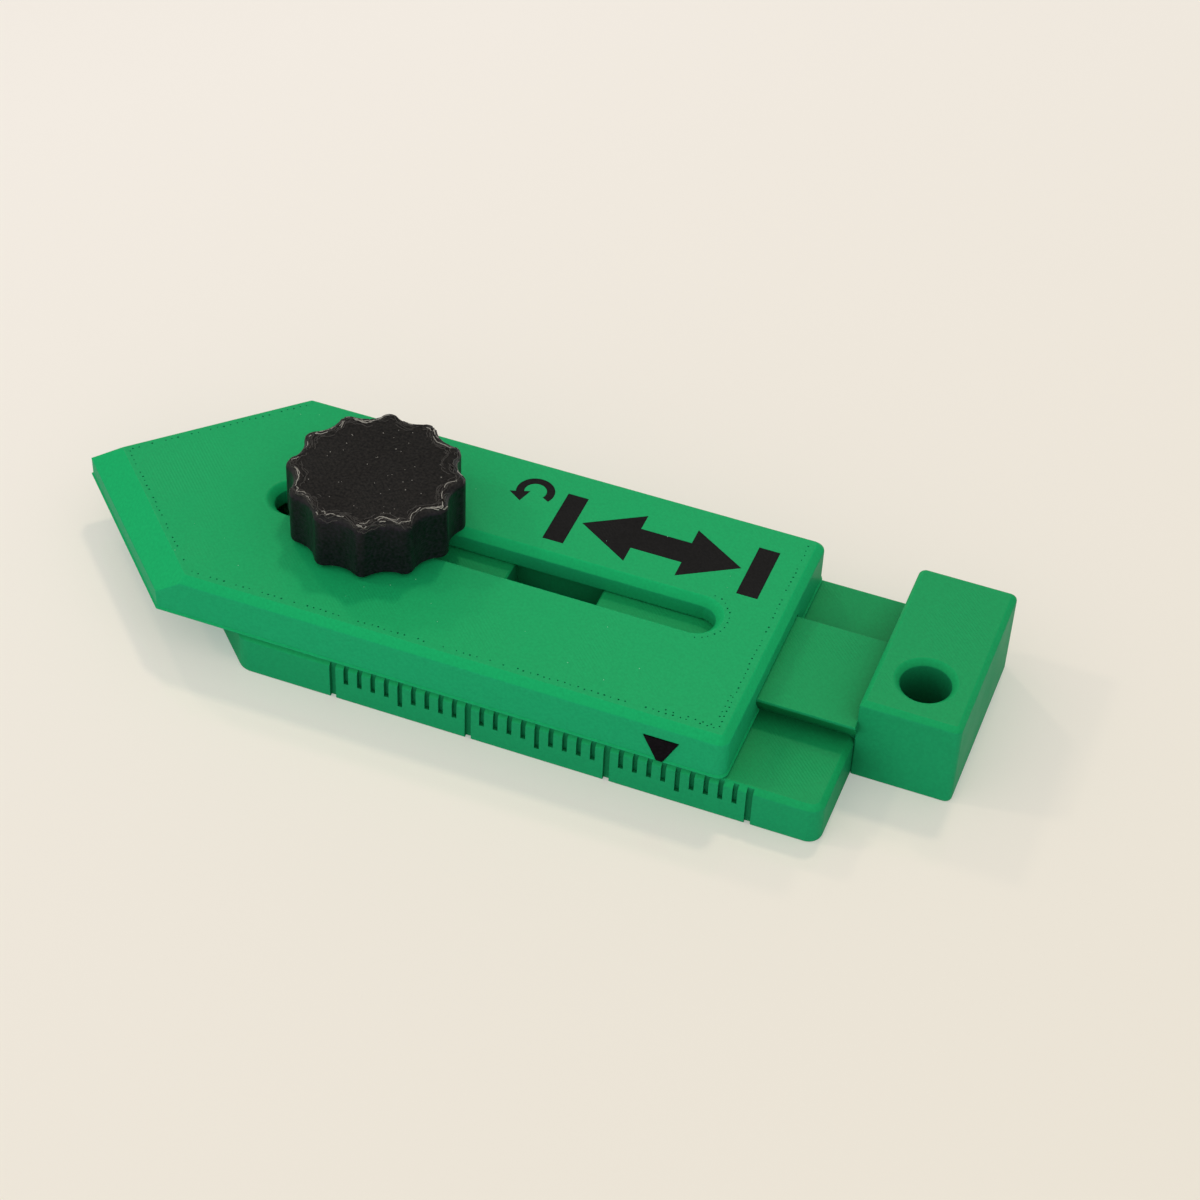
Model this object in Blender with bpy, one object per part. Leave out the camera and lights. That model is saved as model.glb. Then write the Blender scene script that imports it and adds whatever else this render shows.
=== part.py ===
"""Offset marking gauge: a dovetail base with a pencil block, a pointed sliding plate and a clamp knob.

The base stands on the XY plane with its scale towards -Y, and the plate slides along X. Lengths are in
metres. Inside each function a piece is drawn about the clamp bolt's axis. At the end the whole gauge is
moved, so that the origin is the centre of its footprint.
"""
import math

import bmesh
import bpy
from mathutils import Vector

# Fits and cuts
CLEARANCE = 0.0003            # left between faces that slide or rest on each other
INLAY_FIT = 0.0001            # hairline round an inlay that is printed in place
SHANK_PLAY = 0.0005           # how much wider the slot is than the bolt
OVERRUN = 0.002               # how far a cut runs past the faces that it opens
SAME_PLACE = 0.000001         # two points closer than this are one
SMOOTH_ANGLE = math.radians(32)
ROUND_STEPS = 48              # facets round a bore, a shank or a washer
FILLET_STEPS = 5              # facets round an upright corner

# Shared outline of base and plate
WIDTH = 0.043
POINT_LENGTH = 0.0215         # from the shoulders to the tip

# Scale and setting
DIVISION = 0.002
DIVISIONS = 30
MEDIUM_EVERY = 5
LONG_EVERY = 10
SETTING = 0.0127              # how far the plate stands out from its closed stop
TICK_WIDTH = 0.0007
LONG_TICK_WIDTH = 0.0009
TICK_DEPTH = 0.0006
SHORT_TICK_FOOT = 0.0032      # height at which a short line ends above the table
MEDIUM_TICK_FOOT = 0.0021

# Base
BOLT_TO_END = 0.0728          # from the bolt's axis to the base's end wall
BASE_SIDE = 0.08365           # straight side, from shoulder to end wall
BASE_HEIGHT = 0.0065
BASE_CHAMFER = 0.00075
BASE_CORNER = 0.0011          # at the tip and the shoulders
BASE_END_CORNER = 0.002       # beside the block

# Dovetail rail
RAIL_WIDTH = 0.0174
RAIL_HEIGHT = 0.0036
RAIL_LIP = 0.0004             # upright edge above the undercut
RAIL_UNDERCUT = 0.002         # how far the foot stands back under each edge
RAIL_ROOT = 0.001             # how deep its foot is merged into the base
RAIL_INTO_BLOCK = 0.0002      # how far its end runs into the block
RAIL_BEHIND_BOLT = 0.012
WINDOW_LENGTH = 0.0133
WINDOW_WIDTH = 0.008
WINDOW_FROM_END = 0.0399      # from the end wall to the window's nearer edge

# Pencil block
BLOCK_LENGTH = 0.014
BLOCK_BESIDE_HOLE = 0.0074    # from the hole's axis to the block's near wall
BLOCK_CORNER = 0.001
BLOCK_CHAMFER = 0.0007
PENCIL_HOLE = 0.007
PENCIL_CHAMFER = 0.0008

# Sliding plate
PLATE_SIDE = 0.08315
PLATE_THICKNESS = 0.0069
PLATE_CHAMFER = 0.0012
PLATE_CORNER = 0.0015
CLOSED_GAP = 0.0007           # between plate and block when the plate is fully in
POINT_WALL = 0.0031           # upright wall left under the slope round the point
POINT_SLOPE = 0.0037          # width of that slope
SLOT_CHAMFER = 0.00105
GROOVE_ROOM = 0.0018          # left past the rail's hidden end when the plate is fully in

# Pointer inlay
POINTER_FROM_END = 0.0092
POINTER_WIDTH = 0.0048
POINTER_HEIGHT = 0.004
POINTER_NOSE = 0.0008
POINTER_DEPTH = 0.0008

# Clamp hardware, M5
THREAD = 0.005
HEX_FLATS = 0.008
HEAD_HEIGHT = 0.0035
BOLT_LENGTH = 0.016
BOLT_TIP = 0.0005             # chamfer on the shank's end
NUT_HEIGHT = 0.004
HEX_CROWN = 0.00047           # height of the conical chamfer on a hexagon's corners
WASHER_DIAMETER = 0.010
WASHER_THICKNESS = 0.001

# Clamp knob
KNOB_DIAMETER = 0.025
KNOB_HEIGHT = 0.009
KNOB_LOBES = 12
KNOB_FLUTE = 0.00115          # depth of the hollows between the lobes
LOBE_RADIUS = 0.0014
LOBE_STEPS = 6
FLUTE_STEPS = 6
KNOB_CHAMFER = 0.001
KNOB_FOOT_CHAMFER = 0.0004
KNOB_ABOVE_PLATE = 0.0006
KNOB_ROOF = 0.002             # material left over the blind bore
KNOB_TURN = 0.248             # radians from +X to the first lobe

# Places that follow from the sizes above, measured from the bolt's axis and the table
HALF_WIDTH = WIDTH / 2
BASE_SHOULDER = BOLT_TO_END - BASE_SIDE
PLATE_END = BOLT_TO_END - CLOSED_GAP
PLATE_SHOULDER = PLATE_END - PLATE_SIDE
PLATE_BOTTOM = BASE_HEIGHT + CLEARANCE
PLATE_TOP = PLATE_BOTTOM + PLATE_THICKNESS
RAIL_TOP = BASE_HEIGHT + RAIL_HEIGHT
BLOCK_END = BOLT_TO_END + BLOCK_LENGTH
BLOCK_NEAR = -BLOCK_BESIDE_HOLE
SLOT_LENGTH = DIVISION * DIVISIONS
SHANK_HOLE = THREAD + 2 * CLEARANCE
POINTER_AT = PLATE_END - POINTER_FROM_END
HEX_POCKET = HEX_FLATS + 2 * CLEARANCE
HEAD_BOTTOM = CLEARANCE
HEAD_POCKET = HEAD_BOTTOM + HEAD_HEIGHT + CLEARANCE
WASHER_BOTTOM = PLATE_TOP + CLEARANCE
KNOB_BOTTOM = PLATE_TOP + KNOB_ABOVE_PLATE
WASHER_RECESS = WASHER_BOTTOM + WASHER_THICKNESS + CLEARANCE - KNOB_BOTTOM
NUT_BOTTOM = KNOB_BOTTOM + WASHER_RECESS + CLEARANCE
NUT_POCKET = NUT_HEIGHT + 2 * CLEARANCE
FOOTPRINT_CENTRE = (BLOCK_END + PLATE_SHOULDER - POINT_LENGTH - SETTING) / 2


# Outlines


def circle(radius, centre=(0, 0), steps=ROUND_STEPS):
    """Points round a circle, anticlockwise."""
    angles = [2 * math.pi * i / steps for i in range(steps)]
    return [(centre[0] + radius * math.cos(a), centre[1] + radius * math.sin(a)) for a in angles]


def hexagon(flats):
    """Points of a hexagon with two flats facing +Y and -Y."""
    return circle(flats / math.sqrt(3), steps=6)


def arc(centre, radius, start, end, steps):
    """Points of an arc from one angle to the other, both included."""
    angles = [start + (end - start) * i / steps for i in range(steps + 1)]
    return [(centre[0] + radius * math.cos(a), centre[1] + radius * math.sin(a)) for a in angles]


def stadium(radius, start_x, end_x):
    """A slot's outline along X, with round ends about the two centres."""
    half_turn = ROUND_STEPS // 2
    right = arc((end_x, 0), radius, -math.pi / 2, math.pi / 2, half_turn)
    left = arc((start_x, 0), radius, math.pi / 2, 3 * math.pi / 2, half_turn)
    return right + left


def lobed(inset):
    """The knob's outline, drawn in by an inset: round lobes and hollow flutes, tangent where they meet."""
    outer = KNOB_DIAMETER / 2
    half_pitch = math.pi / KNOB_LOBES
    lobe_centre = outer - LOBE_RADIUS
    floor = outer - KNOB_FLUTE
    across = 2 * lobe_centre * math.cos(half_pitch)
    flute_radius = (lobe_centre ** 2 + floor ** 2 - across * floor - LOBE_RADIUS ** 2) / (
        across + 2 * LOBE_RADIUS - 2 * floor)
    flute_centre = floor + flute_radius
    reach = flute_centre * math.cos(half_pitch) - lobe_centre
    lobe_sweep = math.atan2(flute_centre * math.sin(half_pitch), reach)
    flute_sweep = lobe_sweep - half_pitch
    points = []
    for lobe in range(KNOB_LOBES):
        middle = KNOB_TURN + 2 * half_pitch * lobe
        valley = middle + half_pitch
        crest = (lobe_centre * math.cos(middle), lobe_centre * math.sin(middle))
        hollow = (flute_centre * math.cos(valley), flute_centre * math.sin(valley))
        points += arc(crest, LOBE_RADIUS - inset, middle - lobe_sweep, middle + lobe_sweep, LOBE_STEPS)
        back = valley + math.pi
        points += arc(hollow, flute_radius + inset, back + flute_sweep, back - flute_sweep, FLUTE_STEPS)[1:-1]
    return points


# Solids


def loft(*sections):
    """A closed solid through plan outlines of equal count, given from the bottom up as (height, points)."""
    bm = bmesh.new()
    height, outline = sections[0]
    cap = bm.faces.new([bm.verts.new((x, y, height)) for x, y in outline])
    for number, (height, outline) in enumerate(sections[1:]):
        made = bmesh.ops.extrude_face_region(bm, geom=[cap])["geom"]
        if number > 0:
            bmesh.ops.delete(bm, geom=[cap], context="FACES_ONLY")
        cap = next(item for item in made if isinstance(item, bmesh.types.BMFace))
        for vert, (x, y) in zip(cap.verts, outline):
            vert.co = (x, y, height)
    bmesh.ops.recalc_face_normals(bm, faces=bm.faces)
    return bm


def run_along_x(profile, start_x, end_x):
    """A closed solid with a profile of (y, z) points, run along X."""
    bm = bmesh.new()
    face = bm.faces.new([bm.verts.new((start_x, y, z)) for y, z in profile])
    made = bmesh.ops.extrude_face_region(bm, geom=[face])["geom"]
    far = [item for item in made if isinstance(item, bmesh.types.BMVert)]
    bmesh.ops.translate(bm, verts=far, vec=(end_x - start_x, 0, 0))
    bmesh.ops.recalc_face_normals(bm, faces=bm.faces)
    return bm


def box(low, high):
    """A closed box between two corners."""
    profile = [(low[1], low[2]), (high[1], low[2]), (high[1], high[2]), (low[1], high[2])]
    return run_along_x(profile, low[0], high[0])


def spun_ring(inner, outer, bottom, top):
    """A flat ring, its square section spun about Z."""
    bm = bmesh.new()
    corners = [(inner, bottom), (outer, bottom), (outer, top), (inner, top)]
    face = bm.faces.new([bm.verts.new((radius, 0, z)) for radius, z in corners])
    section = face.edges[:] + face.verts[:]
    bmesh.ops.spin(bm, geom=section, cent=(0, 0, 0), axis=(0, 0, 1), angle=math.tau, steps=ROUND_STEPS,
                   use_merge=True)
    bmesh.ops.delete(bm, geom=[face], context="FACES_ONLY")
    bmesh.ops.recalc_face_normals(bm, faces=bm.faces)
    return bm


def near(a, b):
    """Whether two lengths are the same, to the fineness of the mesh."""
    return abs(a - b) < SAME_PLACE


def bevel(bm, edges, offset, segments):
    """Round or chamfer the given edges."""
    bmesh.ops.bevel(bm, geom=edges, offset=offset, segments=segments, profile=0.5, affect="EDGES",
                    material=-1)


def round_upright_edges(bm, corners, radius):
    """Round the upright edges that stand on the given plan corners."""
    chosen = [edge for edge in bm.edges if any(
        all(near(v.co.x, x) and near(v.co.y, y) for v in edge.verts) for x, y in corners)]
    bevel(bm, chosen, radius, FILLET_STEPS)


def chamfer_top_edges(bm, height, width, keep=lambda co: True):
    """Chamfer the outer edges at one height whose two ends both pass a test."""
    chosen = [edge for edge in bm.edges if all(near(v.co.z, height) and keep(v.co) for v in edge.verts)]
    bevel(bm, chosen, width, 1)


def slope_off(bm, point, normal):
    """Cut a convex solid by a plane, take away the side that the normal points to, and close the cut."""
    parts = bm.verts[:] + bm.edges[:] + bm.faces[:]
    bmesh.ops.bisect_plane(bm, geom=parts, dist=0, plane_co=point, plane_no=normal, clear_outer=True)
    bmesh.ops.holes_fill(bm, edges=[edge for edge in bm.edges if edge.is_boundary], sides=0)
    bmesh.ops.recalc_face_normals(bm, faces=bm.faces)


# Objects


def solid(name, bm):
    """Turn a finished bmesh into an object."""
    mesh = bpy.data.meshes.new(name)
    bm.to_mesh(mesh)
    bm.free()
    obj = bpy.data.objects.new(name, mesh)
    bpy.context.collection.objects.link(obj)
    return obj


def combine(obj, bm, operation):
    """Join, cut or intersect an object with one more solid, which is used up."""
    tool = solid("tool", bm)
    modifier = obj.modifiers.new("combine", "BOOLEAN")
    modifier.operation = operation
    modifier.solver = "EXACT"
    modifier.object = tool
    depsgraph = bpy.context.evaluated_depsgraph_get()
    result = bpy.data.meshes.new_from_object(obj.evaluated_get(depsgraph))
    obj.modifiers.clear()
    before, obj.data = obj.data, result
    bpy.data.meshes.remove(before)
    bpy.data.meshes.remove(tool.data)


def linear(hex_colour):
    """An sRGB hex colour as linear red, green, blue and alpha."""
    channels = [int(hex_colour[i:i + 2], 16) / 255 for i in (0, 2, 4)]
    return [c / 12.92 if c <= 0.04045 else ((c + 0.055) / 1.055) ** 2.4 for c in channels] + [1]


def make_material(name, hex_colour, roughness, metallic=0):
    """A plain Principled material."""
    material = bpy.data.materials.new(name)
    material.use_nodes = True
    shader = material.node_tree.nodes["Principled BSDF"]
    shader.inputs["Base Color"].default_value = linear(hex_colour)
    shader.inputs["Roughness"].default_value = roughness
    shader.inputs["Metallic"].default_value = metallic
    return material


def finish(obj, material, parent, place):
    """Name the mesh, give it its material and smooth shading, and put the piece in its place."""
    obj.data.name = obj.name
    obj.data.materials.clear()
    obj.data.materials.append(material)
    obj.data.shade_smooth()
    obj.data.set_sharp_from_angle(angle=SMOOTH_ANGLE)
    obj.parent = parent
    obj.location = place


# Base with rail and block


def base_slab():
    """The pointed floor of the base, with a tongue that runs on under the block."""
    tip = (BASE_SHOULDER - POINT_LENGTH, 0)
    near_shoulder = (BASE_SHOULDER, -HALF_WIDTH)
    far_shoulder = (BASE_SHOULDER, HALF_WIDTH)
    near_end = (BOLT_TO_END, -HALF_WIDTH)
    tongue_near = BLOCK_NEAR + BLOCK_CORNER / 2
    tongue_end = BOLT_TO_END + BLOCK_LENGTH / 2
    outline = [tip, near_shoulder, near_end, (BOLT_TO_END, tongue_near), (tongue_end, tongue_near),
               (tongue_end, HALF_WIDTH), far_shoulder]
    bm = loft((0, outline), (BASE_HEIGHT, outline))
    round_upright_edges(bm, [tip, near_shoulder, far_shoulder], BASE_CORNER)
    round_upright_edges(bm, [near_end], BASE_END_CORNER)
    chamfer_top_edges(bm, BASE_HEIGHT, BASE_CHAMFER)
    return bm


def pencil_block():
    """The upstanding block at the base's end, level with the plate's top. Its corner at the rail stays sharp."""
    corners = [(BOLT_TO_END, BLOCK_NEAR), (BLOCK_END, BLOCK_NEAR),
               (BLOCK_END, HALF_WIDTH), (BOLT_TO_END, HALF_WIDTH)]
    bm = loft((0, corners), (PLATE_TOP, corners))
    round_upright_edges(bm, corners[1:], BLOCK_CORNER)
    chamfer_top_edges(bm, PLATE_TOP, BLOCK_CHAMFER)
    return bm


def dovetail_rail():
    """The raised rail: its sides lean out from a narrow foot, as on a dovetail."""
    half_top = RAIL_WIDTH / 2
    half_foot = half_top - RAIL_UNDERCUT
    half_profile = [(half_foot, BASE_HEIGHT - RAIL_ROOT), (half_foot, BASE_HEIGHT),
                    (half_top, RAIL_TOP - RAIL_LIP), (half_top, RAIL_TOP)]
    profile = half_profile + [(-y, z) for y, z in reversed(half_profile)]
    return run_along_x(profile, -RAIL_BEHIND_BOLT, BOLT_TO_END + RAIL_INTO_BLOCK)


def pencil_hole():
    """A through hole with a chamfered mouth."""
    centre = (BOLT_TO_END + BLOCK_LENGTH / 2, 0)
    radius = PENCIL_HOLE / 2
    mouth = radius + PENCIL_CHAMFER
    return loft((-OVERRUN, circle(radius, centre)), (PLATE_TOP - PENCIL_CHAMFER, circle(radius, centre)),
                (PLATE_TOP, circle(mouth, centre)), (PLATE_TOP + OVERRUN, circle(mouth + OVERRUN, centre)))


def rail_window():
    """A rectangular window through rail and base, seen through the plate's slot."""
    end_x = BOLT_TO_END - WINDOW_FROM_END
    low = (end_x - WINDOW_LENGTH, -WINDOW_WIDTH / 2, -OVERRUN)
    return box(low, (end_x, WINDOW_WIDTH / 2, RAIL_TOP + OVERRUN))


def scale_line(index):
    """One engraved line of the scale, counted from zero at the closed setting."""
    x = POINTER_AT - DIVISION * index
    foot, width = SHORT_TICK_FOOT, TICK_WIDTH
    if index % LONG_EVERY == 0:
        foot, width = -OVERRUN, LONG_TICK_WIDTH
    elif index % MEDIUM_EVERY == 0:
        foot = MEDIUM_TICK_FOOT
    low = (x - width / 2, -HALF_WIDTH - OVERRUN, foot)
    return box(low, (x + width / 2, -HALF_WIDTH + TICK_DEPTH, BASE_HEIGHT + OVERRUN))


def build_base(material, gauge):
    """The base: slab, block and rail in one print, with its holes, window, head pocket and scale."""
    base = solid("base_body", base_slab())
    combine(base, pencil_block(), "UNION")
    combine(base, dovetail_rail(), "UNION")
    combine(base, pencil_hole(), "DIFFERENCE")
    combine(base, rail_window(), "DIFFERENCE")
    shank = circle(SHANK_HOLE / 2)
    combine(base, loft((-OVERRUN, shank), (RAIL_TOP + OVERRUN, shank)), "DIFFERENCE")
    head = hexagon(HEX_POCKET)
    combine(base, loft((-OVERRUN, head), (HEAD_POCKET, head)), "DIFFERENCE")
    for index in range(DIVISIONS + 1):
        combine(base, scale_line(index), "DIFFERENCE")
    finish(base, material, gauge, (0, 0, 0))
    return base


# Sliding plate, drawn in its closed position with its underside at zero


def plate_blank():
    """The pointed plate: round corners and a chamfer at its square end, a broad slope round its point."""
    tip = (PLATE_SHOULDER - POINT_LENGTH, 0)
    near_end = (PLATE_END, -HALF_WIDTH)
    far_end = (PLATE_END, HALF_WIDTH)
    outline = [tip, (PLATE_SHOULDER, -HALF_WIDTH), near_end, far_end, (PLATE_SHOULDER, HALF_WIDTH)]
    bm = loft((0, outline), (PLATE_THICKNESS, outline))
    round_upright_edges(bm, [near_end, far_end], PLATE_CORNER)
    chamfer_top_edges(bm, PLATE_THICKNESS, PLATE_CHAMFER, keep=lambda co: co.x > tip[0] + POINT_LENGTH / 2)
    rise = PLATE_THICKNESS - POINT_WALL
    edge_length = math.hypot(POINT_LENGTH, HALF_WIDTH)
    for side in (-1, 1):
        outward = Vector((-HALF_WIDTH, side * POINT_LENGTH, 0)) / edge_length
        slope_off(bm, (tip[0], 0, POINT_WALL), outward * rise + Vector((0, 0, POINT_SLOPE)))
    return bm


def bolt_slot():
    """The long slot for the bolt, with a chamfered rim."""
    radius = (THREAD + SHANK_PLAY) / 2
    rim = radius + SLOT_CHAMFER
    return loft((-OVERRUN, stadium(radius, 0, SLOT_LENGTH)),
                (PLATE_THICKNESS - SLOT_CHAMFER, stadium(radius, 0, SLOT_LENGTH)),
                (PLATE_THICKNESS, stadium(rim, 0, SLOT_LENGTH)),
                (PLATE_THICKNESS + OVERRUN, stadium(rim + OVERRUN, 0, SLOT_LENGTH)))


def rail_groove():
    """The groove that runs on the rail, open at the plate's square end."""
    lean = RAIL_UNDERCUT / (RAIL_HEIGHT - RAIL_LIP)
    half_top = RAIL_WIDTH / 2 + CLEARANCE
    half_foot = RAIL_WIDTH / 2 - RAIL_UNDERCUT + CLEARANCE * (lean + math.hypot(1, lean))
    half_profile = [(half_foot - OVERRUN * lean, -OVERRUN), (half_top, (half_top - half_foot) / lean),
                    (half_top, RAIL_HEIGHT)]
    profile = half_profile + [(-y, z) for y, z in reversed(half_profile)]
    return run_along_x(profile, -RAIL_BEHIND_BOLT - GROOVE_ROOM, PLATE_END + OVERRUN)


def pointer_prism(margin, foot, front):
    """The pointer's blunt triangle, grown by a margin, from a foot height and a front face into the wall."""
    half_nose = POINTER_NOSE / 2
    lean = (POINTER_WIDTH / 2 - half_nose) / POINTER_HEIGHT
    grow = margin * math.hypot(1, lean)
    top = POINTER_HEIGHT + margin
    half_foot = half_nose + lean * foot + grow
    half_top = half_nose + lean * top + grow
    back = -HALF_WIDTH + POINTER_DEPTH + margin
    bm = bmesh.new()
    corners = [(-half_foot, foot), (half_foot, foot), (half_top, top), (-half_top, top)]
    face = bm.faces.new([bm.verts.new((POINTER_AT + x, front, z)) for x, z in corners])
    made = bmesh.ops.extrude_face_region(bm, geom=[face])["geom"]
    inner = [item for item in made if isinstance(item, bmesh.types.BMVert)]
    bmesh.ops.translate(bm, verts=inner, vec=(0, back - front, 0))
    bmesh.ops.recalc_face_normals(bm, faces=bm.faces)
    return bm


def build_plate(material, gauge):
    """The sliding plate with its slot, its groove and the pocket for the pointer."""
    plate = solid("top_plate", plate_blank())
    combine(plate, bolt_slot(), "DIFFERENCE")
    combine(plate, rail_groove(), "DIFFERENCE")
    combine(plate, pointer_prism(INLAY_FIT, -CLEARANCE, -HALF_WIDTH - OVERRUN), "DIFFERENCE")
    finish(plate, material, gauge, (-SETTING, 0, PLATE_BOTTOM))
    return plate


def build_pointer(material, plate):
    """The black pointer, flush with the plate's wall and underside."""
    pointer = solid("pointer_inlay", pointer_prism(0, 0, -HALF_WIDTH))
    finish(pointer, material, plate, (0, 0, 0))


# Clamp: bolt, washer, nut and knob, each drawn with its underside at zero


def crowned_hexagon(name, height, crown_top):
    """A hexagon of the bolt's size, its corners turned off at 30 degrees at the foot and perhaps the top."""
    corner = HEX_FLATS / math.sqrt(3)
    turned = circle(corner - HEX_CROWN * math.sqrt(3))
    wide = circle(corner + HEX_CROWN * math.sqrt(3))
    sections = [(0, turned), (2 * HEX_CROWN, wide)]
    if crown_top:
        sections += [(height - 2 * HEX_CROWN, wide), (height, turned)]
    else:
        sections.append((height + OVERRUN, wide))
    blank = solid(name, loft((0, hexagon(HEX_FLATS)), (height, hexagon(HEX_FLATS))))
    combine(blank, loft(*sections), "INTERSECT")
    return blank


def build_bolt(material, gauge):
    """The hexagon bolt, its head held in the base's pocket."""
    bolt = crowned_hexagon("clamp_bolt", HEAD_HEIGHT, crown_top=False)
    radius = THREAD / 2
    end = HEAD_HEIGHT + BOLT_LENGTH
    shank = loft((HEAD_HEIGHT / 2, circle(radius)), (end - BOLT_TIP, circle(radius)),
                 (end, circle(radius - BOLT_TIP)))
    combine(bolt, shank, "UNION")
    finish(bolt, material, gauge, (0, 0, HEAD_BOTTOM))


def build_washer(material, gauge):
    """The flat washer between plate and knob."""
    washer = solid("flat_washer", spun_ring(SHANK_HOLE / 2, WASHER_DIAMETER / 2, 0, WASHER_THICKNESS))
    finish(washer, material, gauge, (0, 0, WASHER_BOTTOM))


def build_knob(material, gauge):
    """The lobed knob: a recess for the washer, a pocket for the nut and a blind bore for the bolt's end."""
    whole = lobed(0)
    knob = solid("clamp_knob", loft((0, lobed(KNOB_FOOT_CHAMFER)), (KNOB_FOOT_CHAMFER, whole),
                                    (KNOB_HEIGHT - KNOB_CHAMFER, whole), (KNOB_HEIGHT, lobed(KNOB_CHAMFER))))
    recess = circle(WASHER_DIAMETER / 2 + CLEARANCE)
    pocket = hexagon(HEX_POCKET)
    bore = circle(SHANK_HOLE / 2)
    combine(knob, loft((-OVERRUN, recess), (WASHER_RECESS, recess)), "DIFFERENCE")
    combine(knob, loft((-OVERRUN, pocket), (WASHER_RECESS + NUT_POCKET, pocket)), "DIFFERENCE")
    combine(knob, loft((-OVERRUN, bore), (KNOB_HEIGHT - KNOB_ROOF, bore)), "DIFFERENCE")
    finish(knob, material, gauge, (0, 0, KNOB_BOTTOM))
    return knob


def build_nut(material, knob):
    """The nut inside the knob."""
    nut = crowned_hexagon("clamp_nut", NUT_HEIGHT, crown_top=True)
    bore = circle(SHANK_HOLE / 2)
    combine(nut, loft((-OVERRUN, bore), (NUT_HEIGHT + OVERRUN, bore)), "DIFFERENCE")
    finish(nut, material, knob, (0, 0, NUT_BOTTOM - KNOB_BOTTOM))


def build_gauge():
    """Clear the scene and build every piece of the gauge."""
    for obj in list(bpy.data.objects):
        bpy.data.objects.remove(obj, do_unlink=True)
    gauge = bpy.data.objects.new("gauge", None)
    bpy.context.collection.objects.link(gauge)
    gauge.location = (-FOOTPRINT_CENTRE, 0, 0)
    green_print = make_material("green_print", "269B5A", 0.42)
    black_print = make_material("black_print", "21201E", 0.38)
    zinc_steel = make_material("zinc_steel", "B9BCC0", 0.3, metallic=1)
    build_base(green_print, gauge)
    plate = build_plate(green_print, gauge)
    build_pointer(black_print, plate)
    build_bolt(zinc_steel, gauge)
    build_washer(zinc_steel, gauge)
    knob = build_knob(black_print, gauge)
    build_nut(zinc_steel, knob)
    bpy.context.view_layer.update()


build_gauge()
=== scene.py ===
# %% [markdown]
# # An offset marking gauge, dressed around its CAD model
# The real object is a small tool printed in green plastic. A pointed plate slides on a dovetail rail, a
# black knob clamps it, and a block at the end guides a pencil. The CAD model already says where
# everything is, so this lesson only makes finer meshes and finishes for it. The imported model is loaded
# first, because every new piece rides on one of its bodies.

# %% Load the measured model
import math
import random

import bmesh
import bpy
from mathutils import Matrix, Vector


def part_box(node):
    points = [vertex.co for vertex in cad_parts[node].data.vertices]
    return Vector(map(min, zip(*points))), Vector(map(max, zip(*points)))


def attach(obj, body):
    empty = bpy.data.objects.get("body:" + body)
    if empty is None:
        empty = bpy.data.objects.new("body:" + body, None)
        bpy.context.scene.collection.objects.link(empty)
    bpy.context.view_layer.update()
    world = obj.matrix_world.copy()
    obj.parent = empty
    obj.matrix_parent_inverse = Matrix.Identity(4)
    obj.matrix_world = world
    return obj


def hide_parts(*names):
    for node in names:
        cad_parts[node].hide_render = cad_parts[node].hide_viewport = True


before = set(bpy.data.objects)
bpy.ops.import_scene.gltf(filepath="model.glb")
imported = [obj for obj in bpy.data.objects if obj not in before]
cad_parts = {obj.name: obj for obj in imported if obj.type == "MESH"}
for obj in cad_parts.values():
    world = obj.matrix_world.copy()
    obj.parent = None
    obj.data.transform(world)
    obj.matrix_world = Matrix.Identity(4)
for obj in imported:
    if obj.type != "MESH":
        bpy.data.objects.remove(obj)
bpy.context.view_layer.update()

# %% [markdown]
# ## Sizes
# Everything is measured from the clamp bolt's axis, as on a drawing. The boxes of the CAD nodes give the
# places of the large faces, and the smaller sizes repeat the CAD drawing, so that the new meshes lie
# exactly on the solids that they stand for.

# %% Sizes of the gauge
MM = 0.001
bolt_box, base_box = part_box("clamp_bolt"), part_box("base_body")
plate_box, knob_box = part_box("top_plate"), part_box("clamp_knob")
BOLT_X = (bolt_box[0].x + bolt_box[1].x) / 2
FIT = 0.3 * MM                # gap between faces that slide
OVERRUN = 0.6 * MM            # how far a cutter runs past a face
RIDGE = 0.25 * MM             # rounding that a printed edge keeps
HALF_WIDTH = base_box[1].y
PLATE_BOTTOM, PLATE_TOP = plate_box[0].z, plate_box[1].z
POINT_TIP, PLATE_END = plate_box[0].x - BOLT_X, plate_box[1].x - BOLT_X
KNOB_BOTTOM, KNOB_TOP = knob_box[0].z, knob_box[1].z
BLOCK_END = base_box[1].x - BOLT_X
BLOCK_LENGTH = 14 * MM
BLOCK_START = BLOCK_END - BLOCK_LENGTH
BLOCK_NEAR = -7.4 * MM
BASE_TOP = PLATE_BOTTOM - FIT
BASE_SHOULDER = BLOCK_START - 83.65 * MM
RAIL_TOP = BASE_TOP + 3.6 * MM
RAIL_HALF = 8.7 * MM
RAIL_UNDERCUT = 2 * MM        # how far its foot stands back under each edge
RAIL_LIP = 0.4 * MM           # upright edge above that
RAIL_START = -12 * MM
RAIL_END = BLOCK_START + 0.2 * MM    # a little way inside the block
SETTING = 12.7 * MM           # how far the plate is drawn out
POINTER_X = PLATE_END - 9.2 * MM
PLATE_CHAMFER = 1.2 * MM
SLOT_RADIUS = 2.75 * MM
SLOT_CHAMFER = 1.05 * MM
SLOT_TRAVEL = 60 * MM
print("bolt axis at", round(BOLT_X / MM, 3), "mm, plate end", round(PLATE_END / MM, 3), "mm from it")

# %% [markdown]
# ## Helpers for solid forms
# A printed part is mostly plates and blocks with cuts. Each form starts from a few vertices or a
# `bmesh.ops.create_` shape, and operators raise, round and turn it. Extruding a face gives straight
# walls, and spinning a profile gives round ones, which is how a lathe or a drill would make them.

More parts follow.
